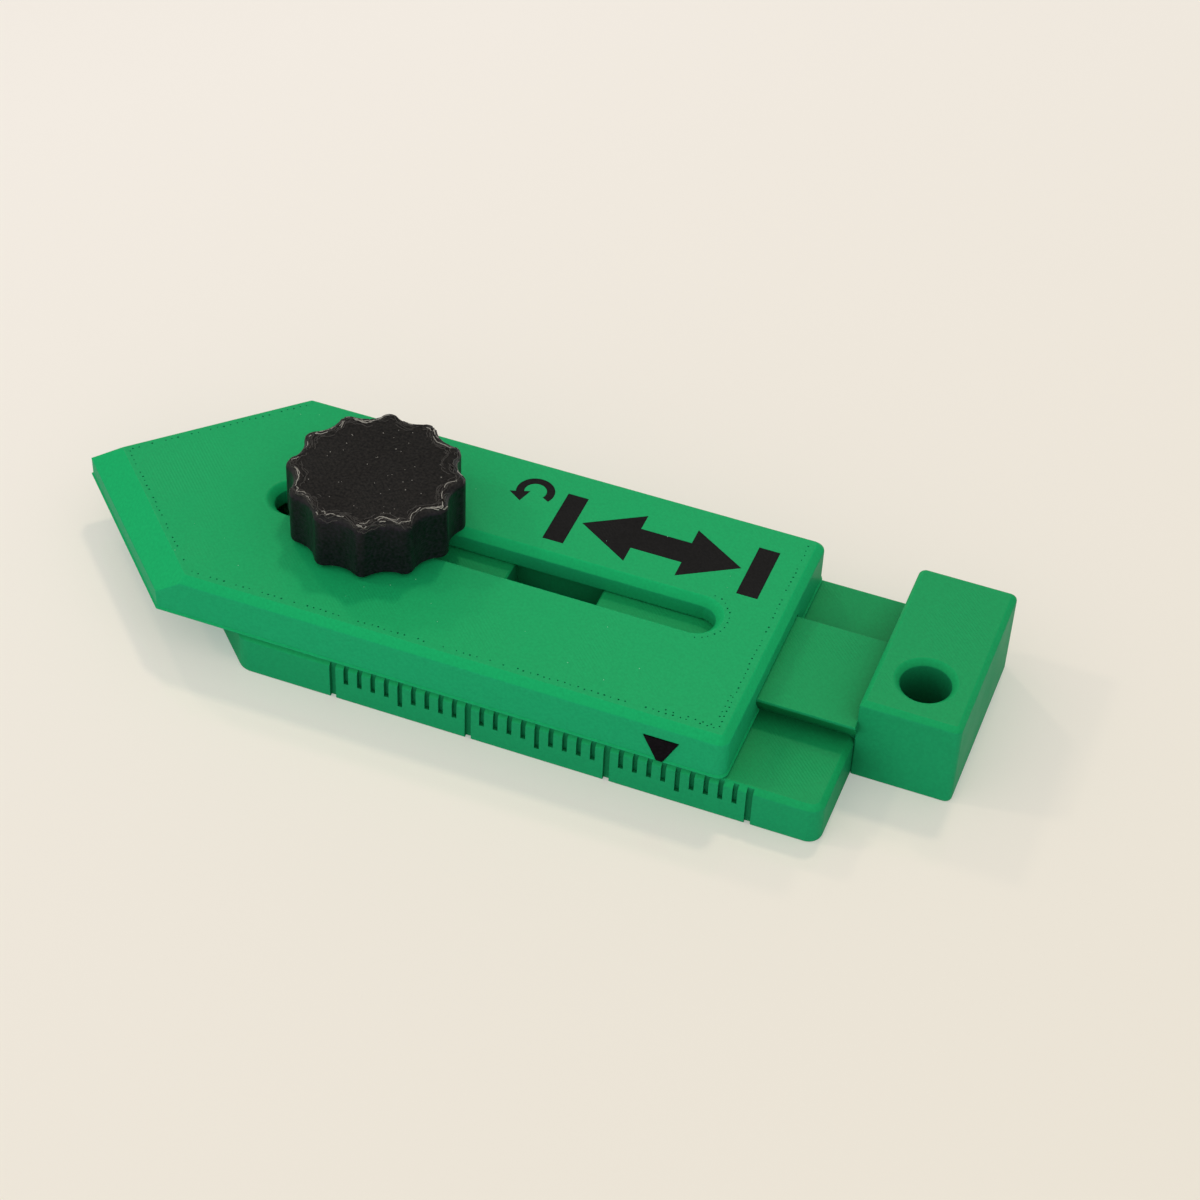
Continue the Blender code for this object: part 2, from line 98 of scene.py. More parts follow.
# %% Helpers: extrude, turn, round
def raised(points, low, high):
    """A solid from a plan outline: one face of a few vertices, extruded straight up."""
    bm = bmesh.new()
    face = bm.faces.new([bm.verts.new((x, y, low)) for x, y in points])
    made = bmesh.ops.extrude_face_region(bm, geom=[face])["geom"]
    top = [item for item in made if isinstance(item, bmesh.types.BMVert)]
    bmesh.ops.translate(bm, verts=top, vec=(0, 0, high - low))
    bmesh.ops.recalc_face_normals(bm, faces=bm.faces)
    return bm


def along_x(profile, start, end):
    """A solid from a cross-section of (y, z) points, extruded along X."""
    bm = bmesh.new()
    face = bm.faces.new([bm.verts.new((start, y, z)) for y, z in profile])
    made = bmesh.ops.extrude_face_region(bm, geom=[face])["geom"]
    far = [item for item in made if isinstance(item, bmesh.types.BMVert)]
    bmesh.ops.translate(bm, verts=far, vec=(end - start, 0, 0))
    bmesh.ops.recalc_face_normals(bm, faces=bm.faces)
    return bm


def turned(profile, centre=(0, 0), steps=96, travel=0.0):
    """A turned form: (radius, height) points spun about an upright axis. Travel makes it a slot along X."""
    bm = bmesh.new()
    points = [bm.verts.new((radius, 0, z)) for radius, z in profile]
    edges = [bm.edges.new(pair) for pair in zip(points, points[1:])]
    bmesh.ops.spin(bm, geom=points + edges, cent=(0, 0, 0), axis=(0, 0, 1), angle=math.tau, steps=steps,
                   use_merge=True)
    half_step = Matrix.Rotation(math.pi / steps, 3, "Z")
    bmesh.ops.rotate(bm, verts=bm.verts, cent=(0, 0, 0), matrix=half_step)
    if travel:
        bmesh.ops.translate(bm, verts=[v for v in bm.verts if v.co.x > 0], vec=(travel, 0, 0))
    bmesh.ops.holes_fill(bm, edges=[e for e in bm.edges if e.is_boundary], sides=0)
    bmesh.ops.translate(bm, verts=bm.verts, vec=(*centre, 0))
    bmesh.ops.recalc_face_normals(bm, faces=bm.faces)
    return bm


def bevel(bm, edges, width, segments):
    """Round or chamfer some edges."""
    bmesh.ops.bevel(bm, geom=edges, offset=width, segments=segments, profile=0.5, affect="EDGES", material=-1)


def round_corners(bm, corners, radius, segments=8):
    """Round the upright edges over the given plan corners."""
    def over_a_corner(edge):
        return any(all((v.co.xy - Vector(c)).length < 0.01 * MM for v in edge.verts) for c in corners)
    bevel(bm, [edge for edge in bm.edges if over_a_corner(edge)], radius, segments)


def chamfer_top(bm, height, width, keep=lambda co: True):
    """Chamfer the outer edges at one height."""
    at_top = [e for e in bm.edges if all(abs(v.co.z - height) < 0.01 * MM and keep(v.co) for v in e.verts)]
    bevel(bm, at_top, width, 1)


def soften(bm, width=0.2 * MM, degrees=20, segments=2, keep=lambda co: True):
    """Round every ridge a little, because a nozzle can't leave a sharp one."""
    ridges = [e for e in bm.edges if e.is_manifold and e.calc_face_angle() > math.radians(degrees)
              and all(keep(v.co) for v in e.verts)]
    bevel(bm, ridges, width, segments)


# %% [markdown]
# ## Helpers for joining and cutting
# Separate closed forms are joined and cut by a Boolean modifier, which is then applied. This suits a
# printed part, because its own drawing was made the same way. Each form is rounded before it is joined,
# so the rounding never has to cope with the small faces that a cut leaves.

# %% Helpers: Boolean, finish
def solid(name, bm):
    """Turn a finished bmesh into an object."""
    mesh = bpy.data.meshes.new(name)
    bm.to_mesh(mesh)
    bm.free()
    obj = bpy.data.objects.new(name, mesh)
    bpy.context.scene.collection.objects.link(obj)
    return obj


def combine(obj, bm, operation):
    """Join or cut an object with one more form, and apply the result."""
    tool = solid("tool", bm)
    modifier = obj.modifiers.new("combine", "BOOLEAN")
    modifier.operation, modifier.solver, modifier.object = operation, "EXACT", tool
    result = bpy.data.meshes.new_from_object(obj.evaluated_get(bpy.context.evaluated_depsgraph_get()))
    obj.modifiers.clear()
    before, obj.data = obj.data, result
    bpy.data.meshes.remove(before)
    bpy.data.meshes.remove(tool.data)


def finish_piece(obj, material, body, replaces=(), smooth=32):
    """Weld and place the mesh, shade it smooth between real edges, and let it ride on its body."""
    bm = bmesh.new()
    bm.from_mesh(obj.data)
    bmesh.ops.remove_doubles(bm, verts=bm.verts, dist=0.001 * MM)
    bmesh.ops.translate(bm, verts=bm.verts, vec=(BOLT_X, 0, 0))
    triangles = sum(len(face.verts) - 2 for face in bm.faces)
    volume, gaps = bm.calc_volume() / MM ** 3, sum(not edge.is_manifold for edge in bm.edges)
    bm.to_mesh(obj.data)
    bm.free()
    obj.data.name = obj.name
    obj.data.materials.clear()
    obj.data.materials.append(material)
    obj.data.shade_smooth()
    obj.data.set_sharp_from_angle(angle=math.radians(smooth))
    weighted = obj.modifiers.new("flat faces stay flat", "WEIGHTED_NORMAL")
    weighted.keep_sharp = True
    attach(obj, body)
    if replaces:
        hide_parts(*replaces)
    print(obj.name, "has", triangles, "triangles,", round(volume), "cubic mm and", gaps, "open edges")
    return obj


# %% [markdown]
# ## Helpers for finishes
# A finish is a Principled shader with a few pattern nodes before it. Colours are written as sRGB hex
# values, as a paint chart gives them, and one function makes them linear. One more function adds any node
# with its settings and its links, so that a material reads like a list.

# %% Helpers: colour, node, material
def linear(hex_colour):
    """An sRGB hex colour as linear red, green, blue and alpha."""
    channels = [int(hex_colour[i:i + 2], 16) / 255 for i in (0, 2, 4)]
    return [c / 12.92 if c <= 0.04045 else ((c + 0.055) / 1.055) ** 2.4 for c in channels] + [1]


def add(tree, kind, settings=None, **links):
    """Add a node. Settings are properties or socket values; a link is socket=(node, output)."""
    node = tree.nodes.new(kind)
    for name, value in (settings or {}).items():
        if isinstance(name, str) and hasattr(node, name):
            setattr(node, name, value)
        else:
            node.inputs[name].default_value = value
    for name, (source, output) in links.items():
        socket = int(name[1:]) if name[1:].isdigit() else name.replace("_", " ")
        tree.links.new(source.outputs[output], node.inputs[socket])
    return node


def new_material(name, hex_colour, roughness, metallic=0.0, ior=1.46, specular=0.5):
    """A material with its shader's plain values set on the shader's own sockets."""
    material = bpy.data.materials.new(name)
    material.use_nodes = True
    shader = material.node_tree.nodes["Principled BSDF"]
    shader.inputs["Base Color"].default_value = linear(hex_colour)
    shader.inputs["Roughness"].default_value = roughness
    shader.inputs["Metallic"].default_value = metallic
    shader.inputs["Specular IOR Level"].default_value = specular
    if not metallic:
        shader.inputs["IOR"].default_value = ior
    return material, material.node_tree, shader


def wave_scale(period):
    """The Wave texture's scale for bands that repeat after a real length."""
    return math.pi / 10 / period


# %% [markdown]
# ## Printed plastic
# The green and black pieces are PLA, laid down by a hot nozzle. Level faces show the zigzag of the nozzle
# at 45 degrees, one line about every 0.42 mm, and walls show the layers as level lines. The gloss is
# satin and changes a little from place to place, and the base is a shade darker than the plate. Real
# layers are 0.2 mm high, too fine for the render, so they are drawn 0.4 mm apart. Both line patterns are
# bumps of one to three hundredths of a millimetre, mixed by which way the face looks. The colour also
# carries painted light: walls are painted a cooler colour than level faces for the cool light from the
# front, chamfers and slopes a little lighter as a painted highlight, and hollows darker as painted shade.

# %% Finish: printed plastic
RASTER = 0.42 * MM
LAYER = 0.4 * MM
GRAIN = 0.4 * MM
PATCH = 9 * MM                # size of the areas over which gloss and lines fade


def printed_plastic(name, level_hex, painted_cool_wall_hex, raster_depth=0.012 * MM, layer_depth=0.006 * MM,
                    grain_depth=0.010 * MM, mottle=(0.94, 1.06), wall_sheen=0.03, hollow_shade=0.5):
    """Satin PLA with raster lines on level faces and layer lines on walls."""
    material, tree, shader = new_material(name, level_hex, 0.4)
    place = add(tree, "ShaderNodeTexCoord")
    facing = add(tree, "ShaderNodeSeparateXYZ", Vector=(place, "Normal"))
    upright = add(tree, "ShaderNodeMath", {"operation": "ABSOLUTE"}, s0=(facing, "Z"))
    level = add(tree, "ShaderNodeMapRange", {1: 0.93, 2: 0.98}, s0=(upright, 0))
    lying = add(tree, "ShaderNodeMapRange", {1: 0.3, 2: 0.6}, s0=(upright, 0))
    # relief: the nozzle's lines fade in and out, and fine grain lies over everything
    diagonal = add(tree, "ShaderNodeMapping", {"Rotation": (0, 0, math.radians(-45))},
                   Vector=(place, "Object"))
    raster = add(tree, "ShaderNodeTexWave", {"bands_direction": "X", "Scale": wave_scale(RASTER),
                 "Distortion": 0.6, "Detail": 2, "Detail Scale": 0.4}, Vector=(diagonal, 0))
    layers = add(tree, "ShaderNodeTexWave", {"bands_direction": "Z", "Scale": wave_scale(LAYER),
                 "Distortion": 0.5, "Detail": 2, "Detail Scale": 0.3}, Vector=(place, "Object"))
    patches = add(tree, "ShaderNodeTexNoise", {"Scale": 1 / PATCH, "Detail": 2}, Vector=(place, "Object"))
    grain = add(tree, "ShaderNodeTexNoise", {"Scale": 1 / GRAIN, "Detail": 2}, Vector=(place, "Object"))
    strength = add(tree, "ShaderNodeMapRange", {1: 0.4, 2: 0.65, 3: 0.1, 4: 1.0}, s0=(patches, 0))
    lines = add(tree, "ShaderNodeMix", {"data_type": "FLOAT"}, s0=(level, 0), s2=(layers, "Fac"),
                s3=(raster, "Fac"))
    depth = add(tree, "ShaderNodeMapRange", {3: layer_depth, 4: raster_depth}, s0=(level, 0))
    drawn = add(tree, "ShaderNodeMath", {"operation": "MULTIPLY"}, s0=(lines, 0), s1=(depth, 0))
    faded = add(tree, "ShaderNodeMath", {"operation": "MULTIPLY"}, s0=(drawn, 0), s1=(strength, 0))
    height = add(tree, "ShaderNodeMath", {"operation": "MULTIPLY_ADD", 1: grain_depth}, s0=(grain, 0),
                 s2=(faded, 0))
    bump = add(tree, "ShaderNodeBump", {"Strength": 1.0, "Distance": 1.0}, Height=(height, 0))
    # gloss: level faces shine a little, walls hardly
    gloss = add(tree, "ShaderNodeMapRange", {1: 0.3, 2: 0.7, 3: 0.36, 4: 0.46}, s0=(patches, 0))
    sheen = add(tree, "ShaderNodeMapRange", {3: wall_sheen, 4: 0.12}, s0=(level, 0))
    # colour: mottled at random, with painted light: walls a cooler colour, chamfers lighter as a painted
    # highlight, and hollows darker as painted shade
    colour = add(tree, "ShaderNodeMix", {"data_type": "RGBA", 6: linear(painted_cool_wall_hex), 7: linear(level_hex)},
                 s0=(lying, 0))
    # painted shade: ambient occlusion darkens the colour in hollows, down to hollow_shade of it
    hollow = add(tree, "ShaderNodeAmbientOcclusion", {"only_local": True, "samples": 6, "Distance": 8 * MM})
    painted_hollow_shade = add(tree, "ShaderNodeMapRange", {3: hollow_shade, 4: 1.0}, s0=(hollow, "AO"))
    tone = add(tree, "ShaderNodeMapRange", {1: 0.3, 2: 0.7, 3: mottle[0], 4: mottle[1]}, s0=(grain, 0))
    # painted highlight: slanted faces such as chamfers and slopes are coloured up to 9 percent lighter
    slanted = add(tree, "ShaderNodeMath", {"operation": "SUBTRACT"}, s0=(lying, 0), s1=(level, 0))
    edges = add(tree, "ShaderNodeMapRange", {3: 1.0, 4: 1.09}, s0=(slanted, 0))
    toned = add(tree, "ShaderNodeMath", {"operation": "MULTIPLY"}, s0=(tone, 0), s1=(edges, 0))
    both = add(tree, "ShaderNodeMath", {"operation": "MULTIPLY"}, s0=(painted_hollow_shade, 0), s1=(toned, 0))
    shaded = add(tree, "ShaderNodeMix", {"data_type": "RGBA", "blend_type": "MULTIPLY", 0: 1.0},
                 s6=(colour, 2), s7=(both, 0))
    tree.links.new(shaded.outputs[2], shader.inputs["Base Color"])
    tree.links.new(gloss.outputs[0], shader.inputs["Roughness"])
    tree.links.new(sheen.outputs[0], shader.inputs["Specular IOR Level"])
    tree.links.new(bump.outputs[0], shader.inputs["Normal"])
    print("finish:", name)
    return material


plate_plastic = printed_plastic("green PLA, plate", "19AA64", "1FAB6E")
base_plastic = printed_plastic("green PLA, base", "1A9E5C", "1E9F65", raster_depth=0.03 * MM,
                               hollow_shade=0.35)
black_plastic = printed_plastic("black PLA, inlays", "100F0F", "120E12", grain_depth=0.02 * MM,
                                mottle=(0.6, 1.4), hollow_shade=1.0)
knob_plastic = printed_plastic("black PLA, knob", "161412", "140E16", raster_depth=0.03 * MM,
                               layer_depth=0.012 * MM, grain_depth=0.05 * MM, mottle=(0.1, 2.2),
                               wall_sheen=0.25, hollow_shade=1.0)

# %% [markdown]
# ## Zinc-plated steel
# The bolt, nut and washer are bought steel pieces with a thin bright zinc coat. Bare zinc is a cool,
# slightly cloudy metal, so the shader is a full metal whose colour and roughness drift a little. Plating
# is too thin to have a relief of its own.

# %% Finish: zinc-plated steel
zinc_steel, tree, shader = new_material("zinc-plated steel", "B8BABC", 0.3, metallic=1.0)
place = add(tree, "ShaderNodeTexCoord")
bloom = add(tree, "ShaderNodeTexNoise", {"Scale": 1 / (2 * MM), "Detail": 4}, Vector=(place, "Object"))
cloudy = add(tree, "ShaderNodeMix", {"data_type": "RGBA", 6: linear("A9ABAE"), 7: linear("C8C7C0")},
             s0=(bloom, 0))
gloss = add(tree, "ShaderNodeMapRange", {3: 0.22, 4: 0.42}, s0=(bloom, 0))
tree.links.new(cloudy.outputs[2], shader.inputs["Base Color"])
tree.links.new(gloss.outputs[0], shader.inputs["Roughness"])
for name in ("clamp_bolt", "clamp_nut", "flat_washer"):
    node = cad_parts[name]
    node.data.materials.clear()
    node.data.materials.append(zinc_steel)
print("finish: zinc-plated steel on bolt, nut and washer")

# %% [markdown]
# ## The base
# The base is one print: a pointed floor, a raised dovetail rail, and the block that guides the pencil.
# Modelling it as one mesh by hand would be slow to change, so each form is made by itself, rounded, and
# joined. Then the holes, the window and the scale are cut.

# %% Base: floor, block and rail
def base_floor():
    """The pointed floor, running on under the block."""
    tip = (BASE_SHOULDER - HALF_WIDTH, 0)
    near, far = (BASE_SHOULDER, -HALF_WIDTH), (BASE_SHOULDER, HALF_WIDTH)
    near_end = (BLOCK_START, -HALF_WIDTH)
    tongue_near, tongue_end = BLOCK_NEAR + 0.5 * MM, BLOCK_START + BLOCK_LENGTH / 2
    outline = [tip, near, near_end, (BLOCK_START, tongue_near), (tongue_end, tongue_near),
               (tongue_end, HALF_WIDTH), far]
    bm = raised(outline, 0, BASE_TOP)
    round_corners(bm, [tip, near, far], 1.1 * MM)
    round_corners(bm, [near_end], 2 * MM)
    chamfer_top(bm, BASE_TOP, 0.75 * MM)
    soften(bm)
    return bm


def pencil_block():
    """The upright block at the end. Its corner at the rail stays sharp."""
    corners = [(BLOCK_START, BLOCK_NEAR), (BLOCK_END, BLOCK_NEAR),
               (BLOCK_END, HALF_WIDTH), (BLOCK_START, HALF_WIDTH)]
    bm = raised(corners, 0, PLATE_TOP)
    round_corners(bm, corners[1:], 1 * MM)
    chamfer_top(bm, PLATE_TOP, 0.7 * MM)
    soften(bm)
    return bm


def rail():
    """The dovetail rail: sides that lean out from a narrow foot."""
    half_foot = RAIL_HALF - RAIL_UNDERCUT
    half = [(half_foot, BASE_TOP - 1 * MM), (half_foot, BASE_TOP), (RAIL_HALF, RAIL_TOP - RAIL_LIP),
            (RAIL_HALF, RAIL_TOP)]
    bm = along_x(half + [(-y, z) for y, z in reversed(half)], RAIL_START, RAIL_END)
    soften(bm, 0.15 * MM, keep=lambda co: co.z > RAIL_TOP - 0.1 * MM)
    return bm


base = solid("base_print", base_floor())
combine(base, pencil_block(), "UNION")
combine(base, rail(), "UNION")
print("base joined:", len(base.data.polygons), "faces")

# %% [markdown]
# ## Holes, window and scale
# Every hole in a printed part has a slightly rounded rim. A cutter with a flared mouth makes the hole and
# its rim in one cut. The scale has 31 lines, 2 mm apart. Each is a small cube, and all of them are one
# cutter, so the base is cut only once.

# %% Base: holes, window, scale
def drill(radius, chamfer, low, high, centre=(0, 0), travel=0.0, steps=96):
    """A cutter for a round hole or a slot: straight wall, chamfer, and rims that bend over in three steps."""
    mouth, bend, rim = radius + chamfer, RIDGE / 3, RIDGE * 0.7
    profile = [(radius, low - OVERRUN), (radius, high - chamfer - bend)]
    if chamfer:
        profile += [(radius + 0.3 * bend, high - chamfer), (radius + bend, high - chamfer + bend),
                    (mouth - rim, high - rim), (mouth + 0.2 * rim, high - 0.35 * rim),
                    (mouth + 1.5 * rim, high)]
    else:
        profile.append((radius + bend, high))
    profile.append((profile[-1][0] + OVERRUN * 3, high + OVERRUN))
    return turned(profile, centre, steps, travel)


def window_cutter():
    """The window through rail and floor, with a flared mouth."""
    end = BLOCK_START - 39.9 * MM
    start, half = end - 13.3 * MM, 4 * MM
    bm = raised([(start, -half), (end, -half), (end, half), (start, half)], -OVERRUN, RAIL_TOP - RIDGE)
    roof = max(bm.faces, key=lambda face: face.calc_center_median().z)
    mouth = bmesh.ops.extrude_face_region(bm, geom=[roof])["geom"]
    bmesh.ops.delete(bm, geom=[roof], context="FACES_ONLY")
    verts = [item for item in mouth if isinstance(item, bmesh.types.BMVert)]
    rise = RIDGE + OVERRUN
    bmesh.ops.translate(bm, verts=verts, vec=(0, 0, rise))
    middle = Matrix.Translation((-(start + end) / 2, 0, 0))
    bmesh.ops.scale(bm, verts=verts, vec=(1 + 2 * rise / (end - start), 1 + rise / half, 1), space=middle)
    bmesh.ops.recalc_face_normals(bm, faces=bm.faces)
    return bm


def scale_cutter():
    """All lines of the scale, long ones at every tenth and medium ones at every fifth."""
    bm = bmesh.new()
    top, depth, zero = BASE_TOP + OVERRUN, 0.6 * MM, POINTER_X + SETTING
    for index in range(31):
        foot, width = 3.2 * MM, 0.7 * MM
        if index % 10 == 0:
            foot, width = -OVERRUN, 0.9 * MM
        elif index % 5 == 0:
            foot = 2.1 * MM
        size = Matrix.Diagonal((width, 2 * depth, top - foot, 1))
        centre = Matrix.Translation((zero - 2 * MM * index, -HALF_WIDTH, (foot + top) / 2))
        bmesh.ops.create_cube(bm, size=1, matrix=centre @ size)
    return bm


def hexagon(flats):
    """Plan points of a hexagon with flats towards +Y and -Y."""
    turns = [math.tau * i / 6 for i in range(6)]
    return [(flats / math.sqrt(3) * math.cos(a), flats / math.sqrt(3) * math.sin(a)) for a in turns]


HOLE = (BLOCK_START + BLOCK_LENGTH / 2, 0)
combine(base, drill(3.5 * MM, 0.8 * MM, 0, PLATE_TOP, centre=HOLE), "DIFFERENCE")
combine(base, window_cutter(), "DIFFERENCE")
combine(base, drill(2.8 * MM, 0, 0, RAIL_TOP, steps=64), "DIFFERENCE")
combine(base, raised(hexagon(8.6 * MM), -OVERRUN, 4.1 * MM), "DIFFERENCE")
combine(base, scale_cutter(), "DIFFERENCE")
finish_piece(base, base_plastic, "base", ["base_body"])

# %% [markdown]
# ## The sliding plate
# The plate is a thick print with a broad slope round its point and a narrow chamfer elsewhere. The slope
# is made by cutting the blank with two tilted planes, which bisecting does exactly. The first layers of a
# print are pressed out a little on the bed, so the wall stands back behind a thin foot. The slot, the
# groove for the rail and the pocket for the pointer are cut afterwards.

# %% Plate: blank, slot, groove, pocket
FOOT_LIP = 0.16 * MM          # how far the first layers stand out from the wall
FOOT_HEIGHT = 0.35 * MM


def plate_outline(inset):
    """The plate's plan, drawn in by an inset: tip, near shoulder, near end, far end, far shoulder."""
    tip = POINT_TIP + inset * math.sqrt(2)
    half, end = HALF_WIDTH - inset, PLATE_END - inset
    return [(tip, 0), (tip + half, -half), (end, -half), (end, half), (tip + half, half)]


def plate_blank():
    """The pointed plate before any cut."""
    outline = plate_outline(FOOT_LIP)
    tip = outline[0][0]
    bm = raised(outline, PLATE_BOTTOM, PLATE_TOP)
    round_corners(bm, outline[2:4], 1.5 * MM)
    chamfer_top(bm, PLATE_TOP, PLATE_CHAMFER - FOOT_LIP, keep=lambda co: co.x > tip + HALF_WIDTH / 2)
    rise, run = 3.8 * MM, 3.7 * MM
    for side in (-1, 1):
        outward = Vector((-1, side, 0)).normalized()
        bmesh.ops.bisect_plane(bm, geom=bm.verts[:] + bm.edges[:] + bm.faces[:], dist=0, clear_outer=True,
                               plane_co=(tip, 0, PLATE_TOP - rise),
                               plane_no=outward * rise + Vector((0, 0, run)))
        bmesh.ops.holes_fill(bm, edges=[e for e in bm.edges if e.is_boundary], sides=0)
    bmesh.ops.recalc_face_normals(bm, faces=bm.faces)
    soften(bm)
    return bm


def plate_foot():
    """The first layers, pressed out on the bed."""
    outline = plate_outline(0)
    bm = raised(outline, PLATE_BOTTOM, PLATE_BOTTOM + FOOT_HEIGHT + FOOT_LIP)
    round_corners(bm, outline[2:4], 1.5 * MM)
    chamfer_top(bm, PLATE_BOTTOM + FOOT_HEIGHT + FOOT_LIP, 2 * FOOT_LIP)
    return bm


def groove_cutter():
    """The groove that runs on the rail."""
    lean = RAIL_UNDERCUT / (RAIL_TOP - RAIL_LIP - BASE_TOP)
    half_foot = RAIL_HALF - RAIL_UNDERCUT + FIT * (lean + math.hypot(1, lean))
    half_top = RAIL_HALF + FIT
    half = [(half_foot - OVERRUN * lean, PLATE_BOTTOM - OVERRUN),
            (half_top, PLATE_BOTTOM + (half_top - half_foot) / lean), (half_top, RAIL_TOP + FIT)]
    start = RAIL_START - 1.8 * MM - SETTING
    return along_x(half + [(-y, z) for y, z in reversed(half)], start, PLATE_END + OVERRUN)


def pointer_form(margin, foot, front):
    """The blunt triangle of the pointer, grown by a margin."""
    half_nose, lean = 0.4 * MM, 0.5
    grow = margin * math.hypot(1, lean)
    top = 4 * MM + margin
    corners = [(sign * (half_nose + lean * z + grow), z)
               for sign, z in ((-1, foot), (1, foot), (1, top), (-1, top))]
    bm = bmesh.new()
    face = bm.faces.new([bm.verts.new((POINTER_X + x, front, PLATE_BOTTOM + z)) for x, z in corners])
    made = bmesh.ops.extrude_face_region(bm, geom=[face])["geom"]
    back = [item for item in made if isinstance(item, bmesh.types.BMVert)]
    bmesh.ops.translate(bm, verts=back, vec=(0, -HALF_WIDTH + 0.8 * MM + margin - front, 0))
    bmesh.ops.recalc_face_normals(bm, faces=bm.faces)
    return bm


plate = solid("plate_print", plate_blank())
combine(plate, plate_foot(), "UNION")
slot = drill(SLOT_RADIUS, SLOT_CHAMFER, PLATE_BOTTOM, PLATE_TOP, centre=(-SETTING, 0), travel=SLOT_TRAVEL)
combine(plate, slot, "DIFFERENCE")
combine(plate, groove_cutter(), "DIFFERENCE")
combine(plate, pointer_form(0.1 * MM, -FIT, -HALF_WIDTH - OVERRUN), "DIFFERENCE")
print("plate cut:", len(plate.data.polygons), "faces")

# %% [markdown]
# ## Pinholes
# Where the filling lines turn back at the outer lines of a top layer, a pinhole stays open at every turn.
# They follow the plate's outline a little inside the edge, about one per millimetre. Each is a small
# cone, and all of them together are one cutter. Seeded random steps make them uneven, and the same in
# every run.

# %% Plate: pinholes
PIN_STEP = 0.95 * MM
random.seed(7)


def row(start, end):
    """Places along a straight line, a pinhole step apart."""
    start, end = Vector(start), Vector(end)
    count = int((end - start).length / PIN_STEP)
    return [start.lerp(end, (i + 0.5) / count) for i in range(count)]


def bend(centre, radius, start, end):
    """Places along an arc between two angles in degrees."""
    count = int(math.radians(end - start) * radius / PIN_STEP)
    angles = [math.radians(start + (end - start) * (i + 0.5) / count) for i in range(count)]
    return [Vector((centre + radius * math.cos(a), radius * math.sin(a))) for a in angles]


def pin_cutter(places):
    """One small cone per place, its mouth above the plate's top."""
    bm = bmesh.new()
    for place in places:
        if random.random() < 0.15:
            continue
        shift = Vector((random.uniform(-1, 1), random.uniform(-1, 1))) * 0.1 * MM
        at = Matrix.Translation((*(place + shift), PLATE_TOP - 0.05 * MM))
        mouth = random.uniform(0.11, 0.19) * MM
        bmesh.ops.create_cone(bm, cap_ends=True, segments=6, radius1=mouth / 2, radius2=mouth * 1.1,
                              depth=0.3 * MM, matrix=at)
    return bm


inside = PLATE_CHAMFER + 1 * MM
slope_top = POINT_TIP + (3.7 + 1) * MM * math.sqrt(2)
side, end = HALF_WIDTH - inside, PLATE_END - inside
pins = row((slope_top + side, -side), (end, -side)) + row((end, -side), (end, side))
pins += row((slope_top, 0), (slope_top + side, -side)) + row((slope_top, 0), (slope_top + side, side))
pins += bend(SLOT_TRAVEL - SETTING, SLOT_RADIUS + SLOT_CHAMFER + 0.8 * MM, -80, 80)
pins += row((end - 8 * MM, 0.5 * MM - side), (end - 0.5 * MM, 0.5 * MM - side))
pins += row((end - 0.5 * MM, 0.5 * MM - side), (end - 0.5 * MM, 7 * MM - side))
combine(plate, pin_cutter(pins), "DIFFERENCE")
print("pinholes:", len(pins))

# %% [markdown]
# ## A sign on the plate
# The far half of the plate has a sign printed in black, flush with the green. Here it is a plain one: a
# double arrow between two bars, which says that this distance is set, and a small turning arrow beside
# the knob, which says that the knob clamps. Each is a low solid in a shallow pocket of the same outline.

# %% Plate: sign pockets and inlays
SIGN_DEPTH = 0.4 * MM
SIGN_HALF_HEIGHT = 5 * MM
SIGN_START, SIGN_END, SIGN_Y = 22.5 * MM, 54 * MM, 11 * MM
BAR_WIDTH, BAR_GAP = 3 * MM, 1 * MM
HEAD_LENGTH, HALF_SHAFT = 8 * MM, 2.1 * MM
TURN_CENTRE, TURN_RADIUS, TURN_WIDTH = Vector((18 * MM, 14.6 * MM)), 2.2 * MM, 1.1 * MM


def add_form(whole, other):
    """Put one bmesh into another."""
    mesh = bpy.data.meshes.new("form")
    other.to_mesh(mesh)
    other.free()
    whole.from_mesh(mesh)
    bpy.data.meshes.remove(mesh)


def set_arrow(margin):
    """The outlines of the double arrow and its two bars, grown by a margin."""
    left, right = SIGN_START + BAR_WIDTH + BAR_GAP - margin, SIGN_END - BAR_WIDTH - BAR_GAP + margin
    neck_left, neck_right = left + HEAD_LENGTH + margin, right - HEAD_LENGTH - margin
    tall, shaft = SIGN_HALF_HEIGHT + margin, HALF_SHAFT + margin
    lower = [(left, 0), (neck_left, -tall), (neck_left, -shaft),
             (neck_right, -shaft), (neck_right, -tall), (right, 0)]
    outlines = [lower + [(x, -y) for x, y in reversed(lower[1:-1])]]
    for start in (SIGN_START, SIGN_END - BAR_WIDTH):
        low_x, high_x = start - margin, start + BAR_WIDTH + margin
        outlines.append([(low_x, -tall), (high_x, -tall), (high_x, tall), (low_x, tall)])
    return [[(x, SIGN_Y + y) for x, y in outline] for outline in outlines]


def turn_arrow(margin):
    """The outline of an arrow that turns three quarters of a circle."""
    inner, outer = TURN_RADIUS - TURN_WIDTH / 2 - margin, TURN_RADIUS + TURN_WIDTH / 2 + margin
    angles = [math.radians(-30 + 10 * i) for i in range(24)]
    ring = [Vector((math.cos(a), math.sin(a))) for a in angles]
    along = Vector((-math.sin(angles[-1]), math.cos(angles[-1])))
    head = [ring[-1] * (outer + 0.9 * MM), ring[-1] * TURN_RADIUS + along * (2 * MM + margin),
            ring[-1] * (inner - 0.9 * MM)]
    points = [p * outer for p in ring] + head + [p * inner for p in reversed(ring)]
    return [tuple(TURN_CENTRE + p) for p in points]


def sign_form(margin, low, high):
    """All forms of the sign as one mesh of low solids."""
    whole = bmesh.new()
    for outline in set_arrow(margin) + [turn_arrow(margin)]:
        add_form(whole, raised(outline, low, high))
    return whole


